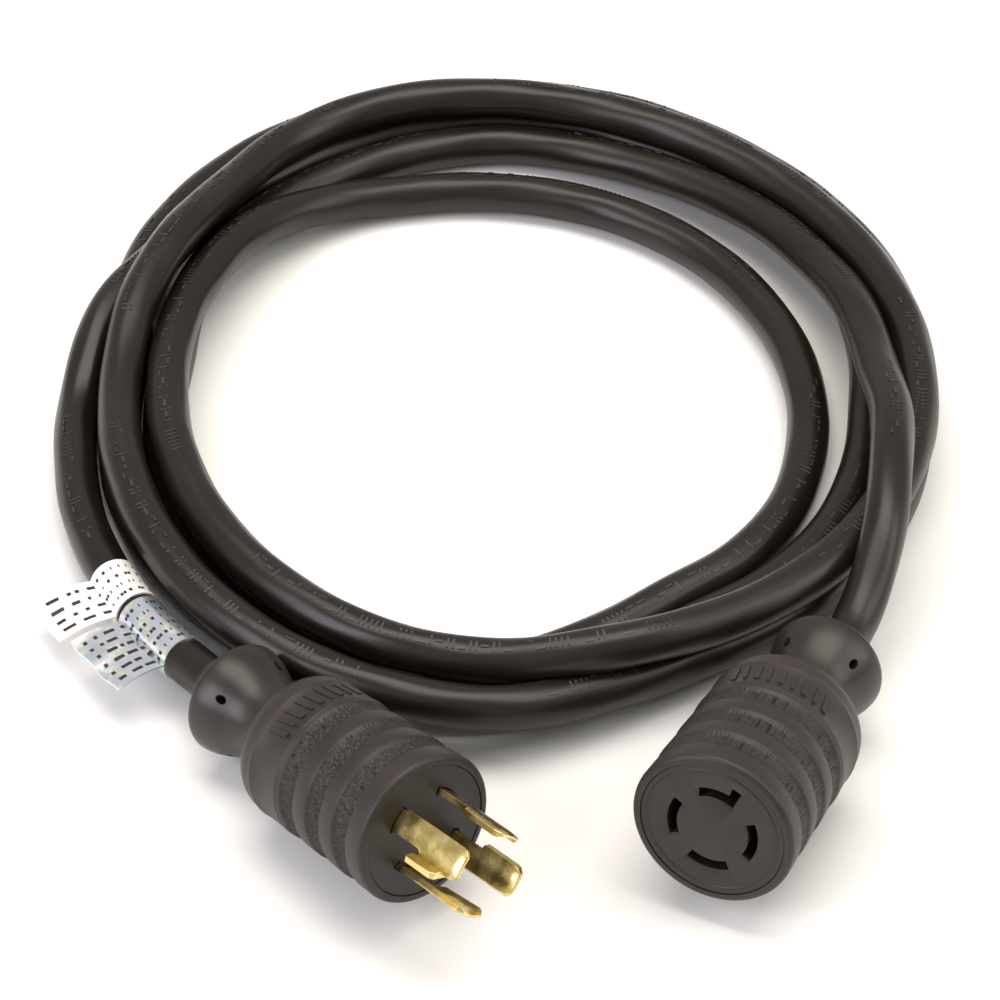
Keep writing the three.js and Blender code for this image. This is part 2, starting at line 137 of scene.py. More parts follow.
# labels round the cord behind the plug: distance from the collar, length, reach of the flag
CERTIFICATION_LABEL = dict(start=14.0, length=21.0, flag=12.0)
RATING_LABEL = dict(start=36.5, length=14.0, flag=14.0)
FLAG_TURN = 12  # degrees above the horizontal at which the flags leave the cord
FLAG_POINTS = 15
ROUND_POINTS = 46
LABEL_LIFT = 0.38  # of the strip above the cord
FLAG_THICKNESS = 0.4
FLAG_DROOP = 0.022  # drop for each square millimetre of reach
FLAG_WAVE = 0.5
PRINT_COLUMNS = (2, 34)  # the points of a label's rows between which dashes start
PRINT_SIDES = (0.1, 0.75)  # share of the gap between two rows that a dash takes up

# the cord from the plug's collar to the coil, as places in the layout
PLUG_LEAD = [
    (-73, -66.5, 10.6), (-80.3, -56.3, 8.8), (-87.5, -44.6, 7.6), (-94.5, -31, 7),
    (-99, -19.5, 6.4), (-102.2, -9, 6), (-105.2, 9.4, 6),
]
# each turn clockwise from the left, every 15 degrees: radius from the coil's centre, then height
FLOOR = CORD_RADIUS + 0.1
STACKED = 16.1
TURNS = [
    (
        [106, 104, 101.5, 109.5, 116, 121, 123.5, 120.5, 115, 109, 103.5, 97.5,
         93, 92, 92, 91.5, 90.5, 96, 102.5, 103, 101.5, 99.5, 98, 96.5],
        [6, 15.2, 15, 10.2] + [FLOOR] * 20,
    ),
    (
        [95.5, 98, 110, 119.5, 127.5, 132, 134, 131.5, 125.5, 120, 114.5, 108.5,
         104, 103, 102.5, 102.5, 101.5, 106, 113, 111.5, 108, 103.5, 99, 96],
        [FLOOR] * 15 + [5.8, 7.4, 10, 12.9, 14, 15, 15.8, STACKED, STACKED],
    ),
    (
        [94.5, 95, 96, 102.5, 114, 120, 119.5, 116, 112.5, 109, 106.5, 105,
         104, 104, 103.5, 103, 103, 104, 101, 98.5, 93.5, 89, 85.5, 83.5],
        [STACKED, 21.5, 24, 19.5, 16.3] + [STACKED] * 10 + [16.6, 18.1, 20.5] + [STACKED] * 6,
    ),
    (
        [83, 84.5, 87, 91.5, 94, 92.5, 90.5, 88, 85, 82, 79.5, 78,
         77.5, 78, 79.5, 80, 80, 85.5, 92, 92.5, 91, 88.5, 86, 85],
        [STACKED, STACKED, 15.6, 13, 8.2] + [FLOOR] * 19,
    ),
    (
        [84.5, 86, 93.5, 100, 105, 110, 112.5, 108.5, 103.5, 99.5, 96, 94, 93.5],
        [FLOOR] * 7 + [6.5, 9, 11.5, 14, 18, 20.5],
    ),
]
# from the coil over the right-hand turns to the connector's collar
CONNECTOR_LEAD = [
    (95.1, 2.5, 25.8), (92.8, -19, 27), (90.3, -36, 23.4), (88, -43.5, 19.6), (84.5, -53, 14.6),
]


# ---- camera ----
CAMERA_ELEVATION = 42
CAMERA_DISTANCE_M = 0.865
CAMERA_LENS = 126.2  # millimetres of focal length, on a sensor 36 wide
camera = bpy.data.objects.new("camera", bpy.data.cameras.new("camera"))
camera.data.sensor_width = 36
camera.data.lens = CAMERA_LENS
camera.data.clip_start = 0.01
camera.data.clip_end = 20
lean = math.radians(CAMERA_ELEVATION)
back = Vector((0, -math.cos(lean), math.sin(lean)))
camera.location = Vector(SHIFT * MM) + back * CAMERA_DISTANCE_M
camera.rotation_euler = (math.radians(90 - CAMERA_ELEVATION), 0, 0)
bpy.context.scene.collection.objects.link(camera)
bpy.context.scene.camera = camera


# ---- helpers ----
# a box from eight points: four below, then the four above them
BOX_FACES = [(0, 3, 2, 1), (4, 5, 6, 7), (0, 1, 5, 4), (1, 2, 6, 5), (2, 3, 7, 6), (3, 0, 4, 7)]


def placed(end):
    """The matrix of an end: its face on local Z = 0, local Z out of the face, local Y up."""
    turn = Matrix.Rotation(math.radians(end["azimuth"]), 4, "Z")
    tip = Matrix.Rotation(math.radians(90 - end["tilt"]), 4, "X")
    return Matrix.Translation(Vector(np.array(end["face"]) + SHIFT)) @ turn @ tip


def collar_end(end):
    """Where the cord leaves an end's collar, as a local height."""
    return -(end["length"] + FLANGE_BEHIND + FLANGE_BACK + COLLAR_LENGTH)


def on_axis(end, height):
    """A place on an end's axis at a local height."""
    return np.array(placed(end) @ Vector((0, 0, height)))


def polar(radius, degrees):
    """A flat place at a radius and an angle."""
    return (radius * math.cos(math.radians(degrees)), radius * math.sin(math.radians(degrees)))


def directions(degrees):
    """Unit vectors outward and sideways at an angle round an end's axis."""
    turn = math.radians(degrees)
    out = np.array([math.cos(turn), math.sin(turn), 0])
    side = np.array([-math.sin(turn), math.cos(turn), 0])
    return out, side


def at_height(section, z):
    """A ring from the places of a flat section."""
    return [(x, y, z) for x, y in section]


def add_mesh(name, points, faces, material, place=None, smooth=True, sharp=35):
    """A mesh from points in millimetres, put in place, riding on the root body."""
    points = np.asarray(points, float)
    if place is not None:
        turn = np.array(place)
        points = points @ turn[:3, :3].T + turn[:3, 3]
    data = bpy.data.meshes.new(name)
    data.from_pydata((points * MM).tolist(), [], faces)
    data.update()
    if smooth:
        data.polygons.foreach_set("use_smooth", [True] * len(data.polygons))
        data.set_sharp_from_angle(angle=math.radians(sharp))
    made = bpy.data.objects.new(name, data)
    bpy.context.scene.collection.objects.link(made)
    made.data.materials.append(material)
    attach(made, "root")
    return made


def grid_faces(rows, columns, wrap_rows=False):
    """Quads over rows of points that each close on themselves."""
    faces = []
    for i in range(rows if wrap_rows else rows - 1):
        low = i * columns
        high = ((i + 1) % rows) * columns
        for j in range(columns):
            k = (j + 1) % columns
            faces.append((low + j, low + k, high + k, high + j))
    return faces


def closed_loft(rings):
    """Points and faces of a solid through rings of equal point count, capped at both ends."""
    count = len(rings[0])
    points = np.concatenate([np.asarray(r, float) for r in rings])
    faces = grid_faces(len(rings), count)
    faces.append(tuple(range(count))[::-1])
    faces.append(tuple((len(rings) - 1) * count + j for j in range(count)))
    return points, faces


def outward(points, faces):
    """The faces, flipped if the solid is inside out."""
    centred = points - points.mean(0)
    volume = 0.0
    for f in faces:
        for i in range(1, len(f) - 1):
            a, b, c = centred[f[0]], centred[f[i]], centred[f[i + 1]]
            volume += np.dot(a, np.cross(b, c))
    return faces if volume > 0 else [tuple(reversed(f)) for f in faces]


def lathe(profile, facets, relief=None):
    """A closed profile of (radius, z) turned round Z; relief(row) adds to the radius."""
    angles = np.linspace(0, 2 * math.pi, facets, endpoint=False)
    rows = []
    for i, (radius, z) in enumerate(profile):
        r = radius + (relief(i) if relief else 0.0)
        r = np.broadcast_to(r, angles.shape)
        rows.append(np.stack([r * np.cos(angles), r * np.sin(angles), np.full(facets, z)], 1))
    points = np.concatenate(rows)
    faces = grid_faces(len(profile), facets, wrap_rows=True)
    return points, outward(points, faces)


def arc_points(centre, radius, start, end, steps):
    """Places along an arc, from one angle in degrees to another."""
    turns = np.radians(np.linspace(start, end, steps + 1))
    return [(centre[0] + radius * math.cos(t), centre[1] + radius * math.sin(t)) for t in turns]


def cut(target, cutters):
    """Takes the cutters out of a piece and removes them."""
    for cutter in cutters:
        step = target.modifiers.new("cut", "BOOLEAN")
        step.operation = "DIFFERENCE"
        step.solver = "EXACT"
        step.object = cutter
    bpy.context.view_layer.update()
    done = bpy.data.meshes.new_from_object(
        target.evaluated_get(bpy.context.evaluated_depsgraph_get())
    )
    target.modifiers.clear()
    target.data = done
    target.data.polygons.foreach_set("use_smooth", [True] * len(done.polygons))
    target.data.set_sharp_from_angle(angle=math.radians(35))
    for cutter in cutters:
        bpy.data.objects.remove(cutter)


# ---- materials ----
def shader(
    name, dark, light, roughness,
    grain=900, grain_depth=0.1, patch=45, metallic=0.0, spread=0.1, specular=0.5,
):
    """A finish that drifts between two tones, with an uneven gloss and a fine grain."""
    material = bpy.data.materials.new(name)
    material.use_nodes = True
    nodes, links = material.node_tree.nodes, material.node_tree.links
    surface = nodes["Principled BSDF"]
    surface.inputs["Metallic"].default_value = metallic
    surface.inputs["Specular IOR Level"].default_value = specular
    place = nodes.new("ShaderNodeTexCoord")
    patches = nodes.new("ShaderNodeTexNoise")
    patches.inputs["Scale"].default_value = patch
    patches.inputs["Detail"].default_value = 4
    links.new(place.outputs["Object"], patches.inputs["Vector"])
    tones = nodes.new("ShaderNodeValToRGB")
    tones.color_ramp.elements[0].position = 0.35
    tones.color_ramp.elements[0].color = (*dark, 1)
    tones.color_ramp.elements[1].position = 0.65
    tones.color_ramp.elements[1].color = (*light, 1)
    links.new(patches.outputs["Fac"], tones.inputs["Fac"])
    links.new(tones.outputs["Color"], surface.inputs["Base Color"])
    gloss = nodes.new("ShaderNodeMapRange")
    gloss.inputs["To Min"].default_value = max(0.02, roughness - spread)
    gloss.inputs["To Max"].default_value = min(1.0, roughness + spread)
    links.new(patches.outputs["Fac"], gloss.inputs["Value"])
    links.new(gloss.outputs["Result"], surface.inputs["Roughness"])
    if grain_depth:
        fine = nodes.new("ShaderNodeTexNoise")
        fine.inputs["Scale"].default_value = grain
        fine.inputs["Detail"].default_value = 3
        links.new(place.outputs["Object"], fine.inputs["Vector"])
        bump = nodes.new("ShaderNodeBump")
        bump.inputs["Strength"].default_value = grain_depth
        bump.inputs["Distance"].default_value = 0.0002
        links.new(fine.outputs["Fac"], bump.inputs["Height"])
        links.new(bump.outputs["Normal"], surface.inputs["Normal"])
    return material


BODY = shader(
    "moulded body", (0.018, 0.0130, 0.0108), (0.026, 0.0192, 0.0162), 0.48,
    grain=1500, grain_depth=0.2, specular=0.42,
)
GRIP = shader(
    "cord grip", (0.017, 0.0125, 0.010), (0.024, 0.018, 0.0145), 0.36,
    grain=1300, grain_depth=0.08, specular=0.42,
)
FACE = shader(
    "face", (0.015, 0.0112, 0.0100), (0.021, 0.0163, 0.0147), 0.46,
    grain=1300, grain_depth=0.08, specular=0.42,
)
JACKET = shader(
    "jacket", (0.0085, 0.0058, 0.0040), (0.0135, 0.0092, 0.0066), 0.33,
    grain=1100, grain_depth=0.09, patch=28, specular=0.36,
)
LEGEND = shader("jacket legend", (0.022, 0.017, 0.014), (0.036, 0.029, 0.024), 0.42, 1500, 0.1)
BRASS = shader(
    "brass", (0.58, 0.44, 0.15), (0.86, 0.70, 0.31), 0.27,
    grain=1400, grain_depth=0.12, patch=260, metallic=1.0, spread=0.12,
)
PAPER = shader("paper", (0.80, 0.78, 0.74), (0.88, 0.87, 0.84), 0.5, 900, 0.05)
PRINT = shader("label print", (0.012, 0.012, 0.012), (0.022, 0.020, 0.020), 0.5, 900, 0.0)
INNER_BLACK = shader("inner insert", (0.014, 0.012, 0.011), (0.022, 0.019, 0.018), 0.6, 900, 0.05)
WIRE_TONES = dict(  # for the insulation of the inner wires, by the end of a node's name
    hot_x=shader("black insulation", (0.012, 0.012, 0.012), (0.02, 0.02, 0.02), 0.4, grain_depth=0),
    hot_y=shader("red insulation", (0.30, 0.012, 0.010), (0.42, 0.02, 0.015), 0.4, grain_depth=0),
    neutral=shader("white insulation", (0.72, 0.70, 0.66), (0.82, 0.80, 0.77), 0.4, grain_depth=0),
    ground=shader("green insulation", (0.01, 0.16, 0.035), (0.02, 0.24, 0.06), 0.4, grain_depth=0),
)


def foil_shader():
    """Silver foil whose patches shift between pale blue, pink and green."""
    material = shader(
        "foil", (0.66, 0.67, 0.70), (0.92, 0.92, 0.93), 0.22, grain=700, patch=200, metallic=0.8
    )
    ramp = next(n for n in material.node_tree.nodes if n.type == "VALTORGB")
    blue, pink, green = (0.62, 0.72, 0.86), (0.80, 0.68, 0.74), (0.66, 0.82, 0.72)
    for position, tone in ((0.45, blue), (0.52, pink), (0.58, green)):
        ramp.color_ramp.elements.new(position).color = (*tone, 1)
    return material


FOIL = foil_shader()


# ---- the cord ----
def smooth_curve(points, step):
    """A smooth line through points (a centripetal Catmull-Rom curve), resampled to an even step."""
    p = np.vstack([2 * points[0] - points[1], points, 2 * points[-1] - points[-2]])
    dense = []
    for i in range(1, len(p) - 2):
        gaps = [np.linalg.norm(p[k + 1] - p[k]) ** 0.5 for k in (i - 1, i, i + 1)]
        t0, t1 = 0.0, gaps[0]
        t2, t3 = t1 + gaps[1], t1 + gaps[1] + gaps[2]
        t = np.linspace(t1, t2, 16, endpoint=False)[:, None]
        a1 = ((t1 - t) * p[i - 1] + (t - t0) * p[i]) / (t1 - t0)
        a2 = ((t2 - t) * p[i] + (t - t1) * p[i + 1]) / (t2 - t1)
        a3 = ((t3 - t) * p[i + 1] + (t - t2) * p[i + 2]) / (t3 - t2)
        b1 = ((t2 - t) * a1 + (t - t0) * a2) / (t2 - t0)
        b2 = ((t3 - t) * a2 + (t - t1) * a3) / (t3 - t1)
        dense.append(((t2 - t) * b1 + (t - t1) * b2) / (t2 - t1))
    dense = np.vstack(dense + [p[-2]])
    along = np.concatenate([[0], np.cumsum(np.linalg.norm(np.diff(dense, axis=0), axis=1))])
    places = np.linspace(0, along[-1], int(along[-1] / step) + 1)
    return np.stack([np.interp(places, along, dense[:, k]) for k in range(3)], 1)


def relaxed(line, reach=7):
    """The line with small kinks smoothed out; its two ends stay where they are."""
    weights = np.exp(-0.5 * (np.arange(-reach, reach + 1) / (reach / 2.2)) ** 2)
    weights /= weights.sum()
    before = 2 * line[0] - line[reach:0:-1]
    after = 2 * line[-1] - line[-2 : -reach - 2 : -1]
    padded = np.vstack([before, line, after])
    return np.stack([np.convolve(padded[:, k], weights, mode="valid") for k in range(3)], 1)


def cord_line():
    """The cord's middle line, from the plug's collar round the coil to the connector's collar."""
    plug_end, connector_end = collar_end(PLUG), collar_end(CONNECTOR)
    route = [on_axis(PLUG, plug_end), on_axis(PLUG, plug_end - COLLAR_RUN)]
    route += [np.array(p) + SHIFT for p in PLUG_LEAD]
    for radii, heights in TURNS:
        for i, (radius, height) in enumerate(zip(radii, heights)):
            turn = math.radians(180 - 15 * i)
            x = COIL_CENTRE[0] + radius * math.cos(turn)
            y = COIL_CENTRE[1] + radius * math.sin(turn)
            route.append(np.array([x, y, height]) + SHIFT)
    route += [np.array(p) + SHIFT for p in CONNECTOR_LEAD]
    route += [on_axis(CONNECTOR, connector_end - COLLAR_RUN), on_axis(CONNECTOR, connector_end)]
    line = relaxed(smooth_curve(np.array(route, float), CORD_STEP))
    line[:, 2] = np.maximum(line[:, 2], FLOOR)
    return line


def carried_frames(line):
    """Tangent, side and top at each point, turned as little as possible from one to the next."""
    tangents = np.gradient(line, axis=0)
    tangents /= np.linalg.norm(tangents, axis=1)[:, None]
    sides = np.zeros_like(line)
    side = np.cross(tangents[0], [0, 0, 1])
    for i, tangent in enumerate(tangents):
        side = side - tangent * np.dot(side, tangent)
        side /= np.linalg.norm(side)
        sides[i] = side
    return tangents, sides, np.cross(sides, tangents)


LINE = cord_line()
TANGENTS, SIDES, TOPS = carried_frames(LINE)


def cord_piece():
    """The jacket: a round tube, very slightly lobed by the four conductors laid up inside it."""
    angles = np.linspace(0, 2 * math.pi, CORD_SIDES, endpoint=False)
    ripple = JACKET_RIPPLE * np.cos(11 * angles)
    rings = []
    for i, middle in enumerate(LINE):
        lay = i * CORD_STEP * 2 * math.pi / LAY_LENGTH
        radius = CORD_RADIUS + LAY_LOBES * np.cos(4 * (angles - lay)) + ripple
        across = np.outer(np.cos(angles) * radius, SIDES[i])
        upward = np.outer(np.sin(angles) * radius, TOPS[i])
        rings.append(middle + across + upward)
    points, faces = closed_loft(rings)
    return add_mesh("cord", points, outward(points, faces), JACKET)


def legend_piece():
    """Small raised marks along the cord, where the moulded legend of a real one would be."""
    points, faces = [], []
    along = CORD_STEP * np.arange(len(LINE))
    place = LEGEND_MARGIN
    while place < along[-1] - LEGEND_MARGIN:
        if place % LEGEND_PERIOD > LEGEND_RUN:
            place += LEGEND_SKIP
            continue
        upright = rng.random() < 0.55
        width = UPRIGHT_WIDTH if upright else 1.5 + rng.random()
        low, high = UPRIGHT_SPAN if upright else rng.choice(FLAT_SPANS)
        n = len(points)
        for lift in (-SUNK, LEGEND_HEIGHT):
            for s, t in ((0, low), (1, low), (1, high), (0, high)):
                at = place + s * width
                i = min(len(LINE) - 1, int(at / CORD_STEP))
                middle = np.array([np.interp(at, along, LINE[:, k]) for k in range(3)])
                turn = math.radians(LEGEND_TURN + t)
                out = SIDES[i] * math.cos(turn) + TOPS[i] * math.sin(turn)
                points.append(middle + out * (CORD_RADIUS + lift))
        faces += [tuple(n + k for k in f) for f in BOX_FACES]
        place += width + (0.9 if rng.random() < 0.8 else 3.5)
    return add_mesh("cord_legend", points, faces, LEGEND, smooth=False)


# ---- the moulded bodies ----
def body_profile(end):
    """A body's shell from the front edge round to the inside, and which rows are grip bands."""
    radius, rear, length = end["radius"], end["rear"], end["length"]
    inside = radius - SHELL_WALL
    slope = (radius - rear) / length
    rows = [(radius - FACE_EDGE, 0)]
    rows += arc_points((radius - FRONT_ROUND, -FRONT_ROUND), FRONT_ROUND, 90, 0, 6)
    bands = []
    for groove in GROOVES:  # each with softened edges
        here = radius - slope * groove
        front, back_edge = groove - GROOVE_HALF, groove + GROOVE_HALF
        rows += [(here, -front + 0.25), (here - 0.12, -front - 0.05)]
        for i in range(BAND_STEPS + 1):
            bands.append(len(rows))
            share = i / BAND_STEPS
            behind = front + 0.45 + share * (2 * GROOVE_HALF - 1.1)
            rows.append((here - GROOVE_DEPTH + share ** 2 * BAND_RISE, -behind))
        rows += [(here - 0.1, -back_edge + 0.15), (here, -back_edge - 0.3)]
    for line in RING_LINES:
        here = radius - slope * line
        crest = here + RING_LINE_HEIGHT
        rows += [(here, -line + RING_LINE_FOOT), (crest, -line + RING_LINE_TOP)]
        rows += [(crest, -line - RING_LINE_TOP), (here, -line - RING_LINE_FOOT)]
    rows += arc_points((rear - REAR_ROUND, -(length - REAR_ROUND)), REAR_ROUND, 0, -90, 10)
    rows += [(BORE_RADIUS, -length), (BORE_RADIUS, -(length - REAR_WALL))]
    rows += [(inside - 4, -(length - REAR_WALL))]
    rows += [(inside, -(length - REAR_WALL) + 4), (inside, -INSERT_DEPTH - 0.2)]
    rows += [(radius - FACE_EDGE, -INSERT_DEPTH - 0.2)]
    return rows, set(bands)


def body_piece(name, end, pebbled):
    """A gripping body whose bands are pebbled or ribbed along the axis."""
    rows, bands = body_profile(end)
    ribs = rng.random(BODY_FACETS)

    def relief(row):  # called once for each row, in order
        if row not in bands:
            return 0.0
        grains = rng.random(BODY_FACETS)
        if pebbled:
            return PEBBLE_HEIGHT * grains
        return RIB_HEIGHT * ribs + RIB_GRAIN * grains

    points, faces = lathe(rows, BODY_FACETS, relief)
    return add_mesh(f"{name}_body_look", points, faces, BODY, placed(end), sharp=60)


def raised_bars(name, end):
    """A row of plain slanted bars between the two ring lines, on the upper side."""
    points, faces = [], []
    slope = (end["radius"] - end["rear"]) / end["length"]
    for i in range(BAR_COUNT):
        middle = 90 + (i - BAR_COUNT // 2) * BAR_SPACING
        width = BAR_WIDTHS[i % 2]
        n = len(points)
        for h in (0, 1):
            for s, t in ((0, -1), (1, -1), (1, 1), (0, 1)):
                behind = BAR_START + s * (BAR_END - BAR_START)
                r = end["radius"] - slope * behind + (BAR_HEIGHT if h else -SUNK)
                turn = math.radians(middle + t * width * 0.5 + (s - 0.5) * BAR_SLANT)
                points.append((r * math.cos(turn), r * math.sin(turn), -behind))
        faces += [tuple(n + k for k in f) for f in BOX_FACES]
    return add_mesh(f"{name}_bars", points, faces, BODY, placed(end), smooth=False)


def grip_piece(name, end):
    """The flared cord grip: concave neck, domed flange with four core-pin holes, short collar."""
    front = -(end["length"] + 0.3)
    widest = -(end["length"] + FLANGE_BEHIND)
    back_end = widest - FLANGE_BACK
    last = back_end - COLLAR_LENGTH
    outline = [(NECK_RADIUS + more, front - behind) for more, behind in NECK_FLARE]
    outline += [
        (FLANGE_RADIUS - 0.1, front - 18.8), (FLANGE_RADIUS, widest),
        (FLANGE_RADIUS - 0.15, widest - 0.45), (FLANGE_RADIUS - 0.7, widest - 0.95),
        (FLANGE_RADIUS - 2.2, widest - 1.4), (COLLAR_RADIUS + 2.0, back_end),
        (COLLAR_RADIUS + 0.5, back_end - 0.3), (COLLAR_RADIUS, back_end - 1.0),
        (COLLAR_RADIUS - 0.1, last + 0.5), (COLLAR_RADIUS - 0.5, last),
        (BORE_RADIUS, last), (BORE_RADIUS, front),
    ]
    points, faces = lathe(outline, 96)
    piece = add_mesh(f"{name}_cord_grip_look", points, faces, GRIP, placed(end))
    cutters = []
    stretched = PIN_HOLE_STRETCH * np.array([0, 0, 1])
    for i in range(4):
        out, side = directions(45 + 90 * i)
        angles = np.linspace(0, 2 * math.pi, 20, endpoint=False)
        rings = []
        for reach in PIN_HOLE_REACH:
            middle = out * reach + np.array([0, 0, front - PIN_HOLE_BEHIND])
            rings.append([
                middle + PIN_HOLE_RADIUS * (math.cos(a) * side + math.sin(a) * stretched)
                for a in angles
            ])
        hole, hole_faces = closed_loft(rings)
        hole_faces = outward(hole, hole_faces)
        cutters.append(add_mesh(f"hole{i}", hole, hole_faces, GRIP, place=placed(end)))
    cut(piece, cutters)
    return piece


# ---- faces, slots and blades ----
def slot_outline(degrees, grow, notch=False):
    """A curved slot's outline, grown by an amount; a notch reaches outward at its clockwise end."""
    inner = BLADE_CIRCLE - SLOT_WIDTH / 2 - grow
    outer = BLADE_CIRCLE + SLOT_WIDTH / 2 + grow
    half = math.degrees((SLOT_LENGTH / 2 + grow) / BLADE_CIRCLE)
    outline = [(outer, degrees + half * s) for s in np.linspace(1, -1, 13)]
    if notch:
        notch_middle = degrees - math.degrees(SLOT_LENGTH / 2 / BLADE_CIRCLE) * 0.72
        notch_half = math.degrees((SLOT_WIDTH / 2 + grow) / (outer + SLOT_NOTCH))
        outline = [(r, a) for r, a in outline if a > notch_middle + notch_half]
        notch_end = outer + SLOT_NOTCH
        outline += [(outer, notch_middle + notch_half), (notch_end, notch_middle + notch_half)]
        outline += [(notch_end, notch_middle - notch_half)]
    outline += [(inner, degrees + half * s) for s in np.linspace(-1, 1, 13)]
    return [polar(r, a) for r, a in outline]


def blade_outline(degrees, inner, outer, clockwise, counter, steps=8):
    """The section of a blade: an arc strip between two places along the circle."""
    places = np.linspace(clockwise, counter, steps + 1)
    turns = [degrees + math.degrees(s / BLADE_CIRCLE) for s in places]
    ring = [(outer, a) for a in turns] + [(inner, a) for a in reversed(turns)]
    return [polar(r, a) for r, a in ring]


def slot_cutter(degrees, notch):
    """The solid that cuts one slot through the face, opening out at the front."""
    rings = []
    for z, grow in (
        (-INSERT_DEPTH - 1, 0.0),
        (-FACE_RECESS - SLOT_BEVEL_DEPTH, 0.0),
        (-FACE_RECESS + 0.05, SLOT_BEVEL),
    ):
        rings.append(at_height(slot_outline(degrees, grow, notch), z))
    # beside a notch the rings can keep different counts of points: the first extra ones go
    count = min(len(ring) for ring in rings)
    return closed_loft([ring[len(ring) - count:] for ring in rings])


def face_piece(name, end, cutter_shapes, line_radius=None):
    """The insert that closes the front, a little behind the rim, with its slots cut through."""
    radius = end["radius"] - FACE_EDGE + 0.02
    top = -FACE_RECESS
    crest = top + RING_LINE_HEIGHT
    outline = [(AXIS_GAP, top)]
    if line_radius:  # a thin raised line round the slots
        outline += [(line_radius - 0.35, top), (line_radius - 0.15, crest)]
        outline += [(line_radius + 0.15, crest), (line_radius + 0.35, top)]
    outline += [(radius - 0.25, top), (radius, top - 0.2)]
    outline += [(radius, -INSERT_DEPTH), (AXIS_GAP, -INSERT_DEPTH)]
    points, faces = lathe(outline, 128)
    piece = add_mesh(f"{name}_look", points, faces, FACE, placed(end))
    cutters = []
    for i, (shape, shape_faces) in enumerate(cutter_shapes):
        shape_faces = outward(shape, shape_faces)
        cutters.append(
            add_mesh(f"cutter{i}", shape, shape_faces, FACE, place=placed(end), smooth=False)
        )
    cut(piece, cutters)
    return piece


def brass_piece(name, rings, edge):
    """A solid of blade brass through rings, with bevelled edges; also its bevel."""
    points, faces = closed_loft(rings)
    faces = outward(points, faces)
    piece = add_mesh(name, points, faces, BRASS, placed(PLUG), sharp=28)
    bevel = piece.modifiers.new("edge", "BEVEL")
    bevel.width = edge * MM
    bevel.segments = 2
    return piece, bevel


def blade_piece(kind, degrees):
    """A blade: a narrow neck, then a head that is wider on one side and chamfered at the tip."""
    half = BLADE_THICKNESS / 2
    neck = BLADE_NECK_LENGTH
    stations = [  # height, clockwise edge, counter-clockwise edge, share of the thickness
        (-11.0, -3.0, 2.2, 1), (0.2, -3.0, 2.2, 1), (0.9, -3.0, 2.2, 1), (1.6, -3.6, 2.0, 1),
        (neck - 0.6, -3.6, 2.0, 1), (neck, -3.6, 2.2, 1), (neck + 0.7, -3.6, 3.6, 1),
        (BLADE_OUT - 2.2, -3.6, 3.6, 1), (BLADE_OUT - 1.2, -3.45, 3.4, 0.95),
        (BLADE_OUT - 0.35, -2.7, 2.7, 0.62), (BLADE_OUT, -2.4, 2.4, 0.4),
    ]
    rings = []
    for z, clockwise, counter, share in stations:
        if kind == "neutral" and z > neck:
            counter += BLADE_WIDER * min(1.0, (z - neck) / 6)
        inner, outer = BLADE_CIRCLE - half * share, BLADE_CIRCLE + half * share
        rings.append(at_height(blade_outline(degrees, inner, outer, clockwise, counter), z))
    piece, bevel = brass_piece(f"blade_{kind}_look", rings, BLADE_EDGE)
    bevel.limit_method = "ANGLE"
    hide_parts(f"plug_blade_{kind}")


def ground_leg(degrees):
    """The leg of the ground blade, which stands outward from its counter-clockwise edge."""
    half = BLADE_THICKNESS / 2
    neck = BLADE_NECK_LENGTH
    top = BLADE_OUT * LEG_HEIGHT_SHARE
    out, side = directions(degrees + math.degrees(LEG_PLACE / BLADE_CIRCLE))
    start = out * (BLADE_CIRCLE - 0.2)
    rings = []
    for z, reach in (
        (neck - 0.5, LEG_REACH - 0.8), (neck, LEG_REACH), (top, LEG_REACH), (top + 1, LEG_REACH - 0.8),
    ):
        tip = out * (BLADE_CIRCLE + half + reach)
        lift = np.array([0, 0, z])
        rings.append([
            start - side * half + lift, tip - side * half + lift,
            tip + side * half + lift, start + side * half + lift,
        ])
    brass_piece("blade_ground_leg", rings, LEG_EDGE)


# ---- labels ----
def label_surface(i, flag):
    """A label's upper side at one place along the cord: its flag from the tip, then round the cord."""
    along = TANGENTS[i]
    across = np.cross([0, 0, 1], along)
    across /= np.linalg.norm(across)
    above = np.cross(along, across)
    lean_out = math.radians(FLAG_TURN)
    out = math.cos(lean_out) * across + math.sin(lean_out) * above
    up = math.cos(lean_out) * above - math.sin(lean_out) * across
    radius = CORD_RADIUS + LABEL_LIFT
    wave = FLAG_WAVE * math.sin(i * 0.9)
    on_flag = []
    for reach in np.linspace(flag, 0, FLAG_POINTS):
        lift = FLAG_THICKNESS / 2 - FLAG_DROOP * reach ** 2 + wave * reach / 14
        on_flag.append(LINE[i] + out * (radius + reach) + up * lift)
    turns = np.radians(np.linspace(FLAG_TURN + 3, FLAG_TURN + 357, ROUND_POINTS))
    round_cord = [LINE[i] + radius * (math.cos(t) * across + math.sin(t) * above) for t in turns]
    return on_flag, round_cord, up


def label_piece(name, spec, material):
    """A strip wrapped round the cord whose two ends meet in a flag that droops a little."""
    first = int(spec["start"] / CORD_STEP)
    last = int((spec["start"] + spec["length"]) / CORD_STEP)
    rings = []
    sheets = []
    for i in range(first, last + 1):
        on_flag, round_cord, up = label_surface(i, spec["flag"])
        under_flag = [p - up * FLAG_THICKNESS for p in reversed(on_flag)]
        rings.append(on_flag + round_cord + under_flag)
        sheets.append(on_flag + round_cord)
    points, faces = closed_loft(rings)
    piece = add_mesh(name, points, outward(points, faces), material)
    return [piece, printed_bars(name, sheets)]


